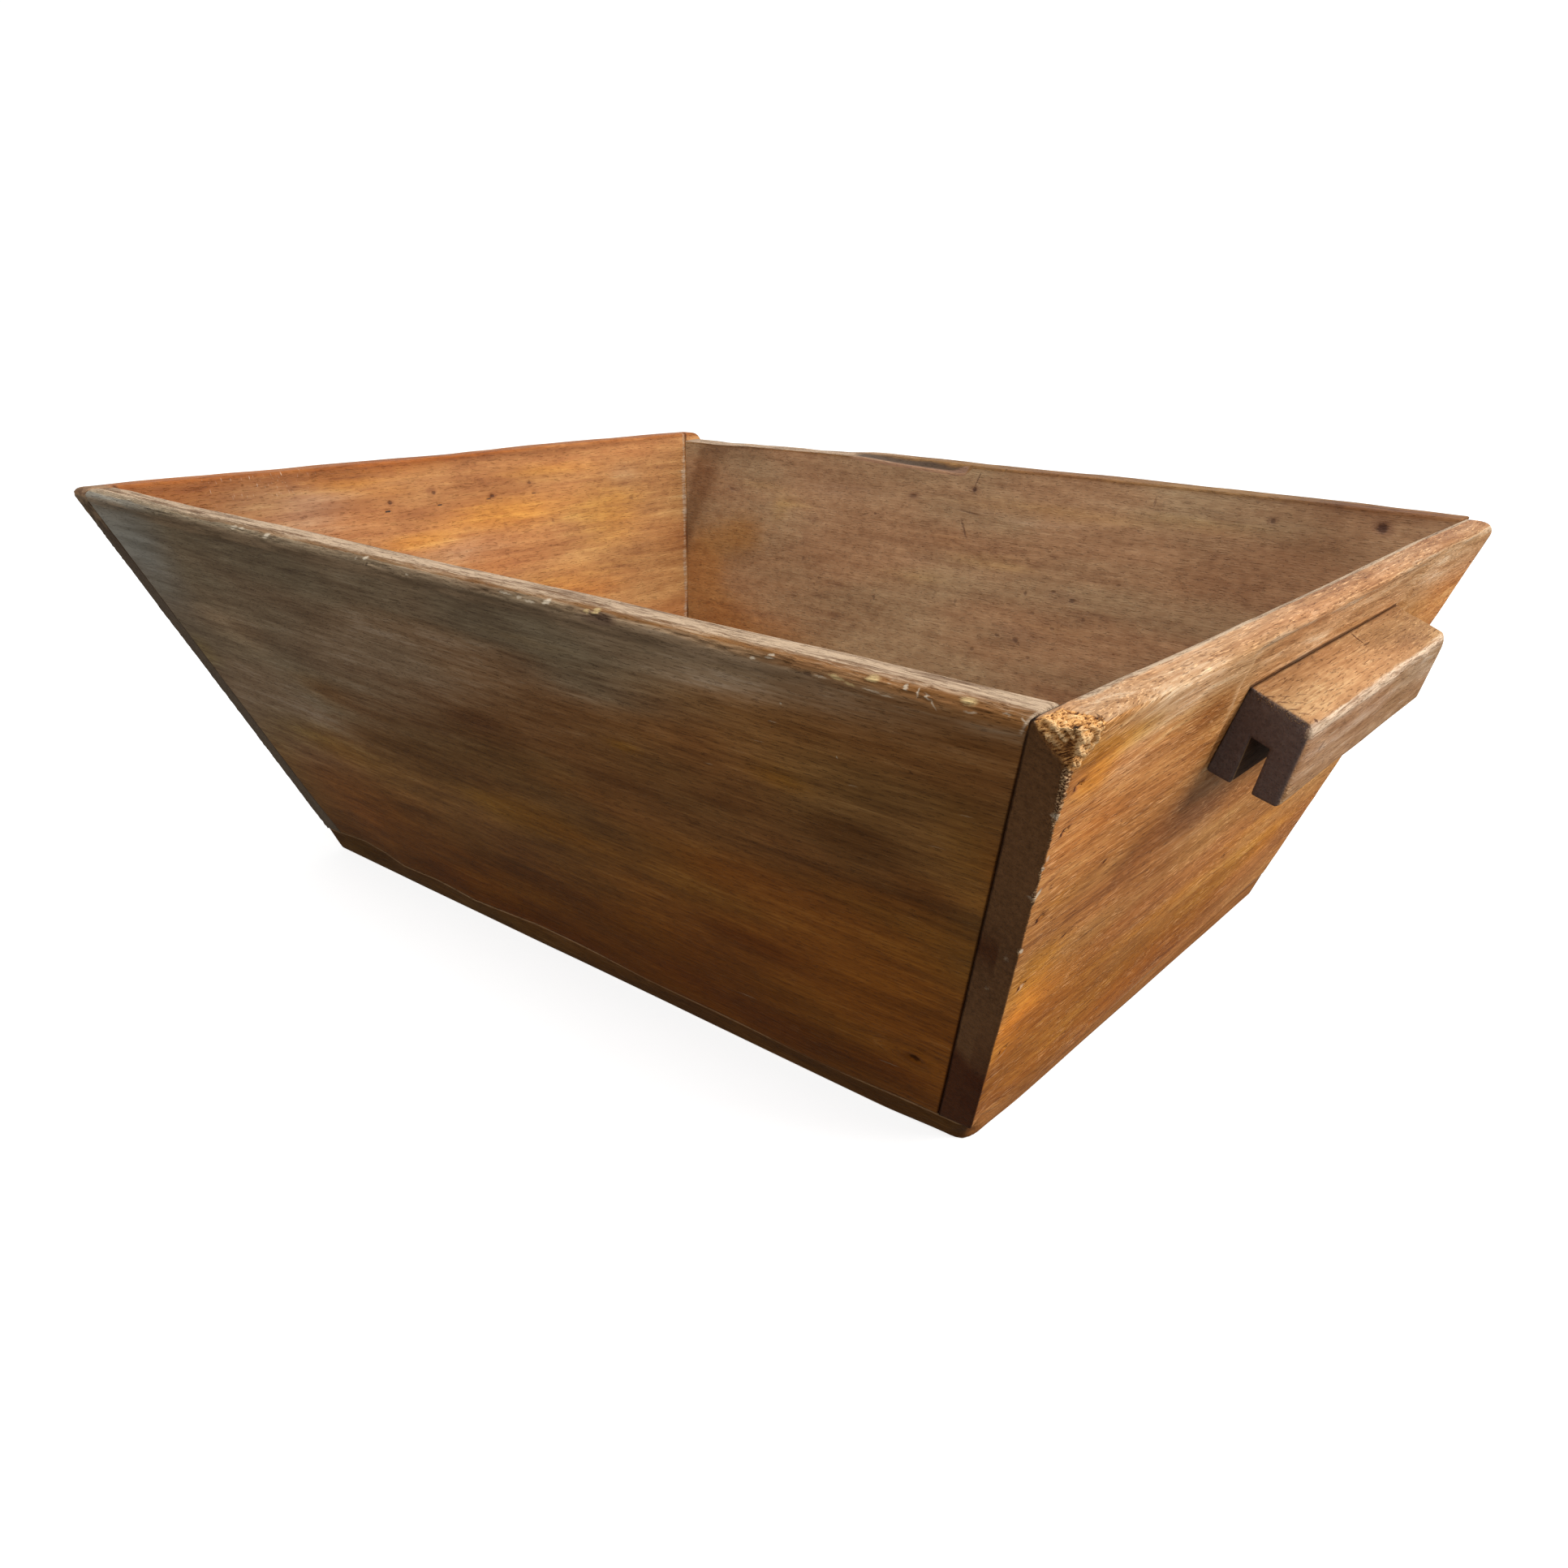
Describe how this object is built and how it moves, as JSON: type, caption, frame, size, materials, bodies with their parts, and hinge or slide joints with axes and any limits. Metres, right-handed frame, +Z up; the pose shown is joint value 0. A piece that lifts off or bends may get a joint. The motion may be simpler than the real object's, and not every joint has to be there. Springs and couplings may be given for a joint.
{
  "type": "dough box",
  "caption": "Open wooden dough trough with splayed nailed sides on a flat bottom, and a grooved finger grip across each end.",
  "frame": {"origin": "middle of the underside, on the surface that the box stands on", "axes": "+X along the long side boards towards the right end, +Y towards the back board, +Z up"},
  "size_m": [0.8568, 0.61, 0.287],
  "materials": {
    "side_wood": "old waxed dark brown, fine horizontal grain, worn pale rim",
    "end_wood": "old waxed golden orange brown, coarse grain, worn rim and splintered end arris",
    "bottom_wood": "old waxed brown edge, bare scrubbed inside",
    "grip_wood": "handled light brown faces, very dark end grain",
    "nail_iron": "dark rusted iron"
  },
  "bodies": {
    "root": {"bottom_board": "bottom_wood", "front_board": "side_wood", "back_board": "side_wood", "right_end_board": "end_wood", "left_end_board": "end_wood", "right_grip": "grip_wood", "left_grip": "grip_wood", "front_right_corner_nails": "nail_iron", "back_right_corner_nails": "nail_iron", "front_left_corner_nails": "nail_iron", "back_left_corner_nails": "nail_iron", "right_grip_nails": "nail_iron", "left_grip_nails": "nail_iron", "front_bottom_nails": "nail_iron", "back_bottom_nails": "nail_iron", "right_bottom_nails": "nail_iron", "left_bottom_nails": "nail_iron"}
  },
  "joints": []
}
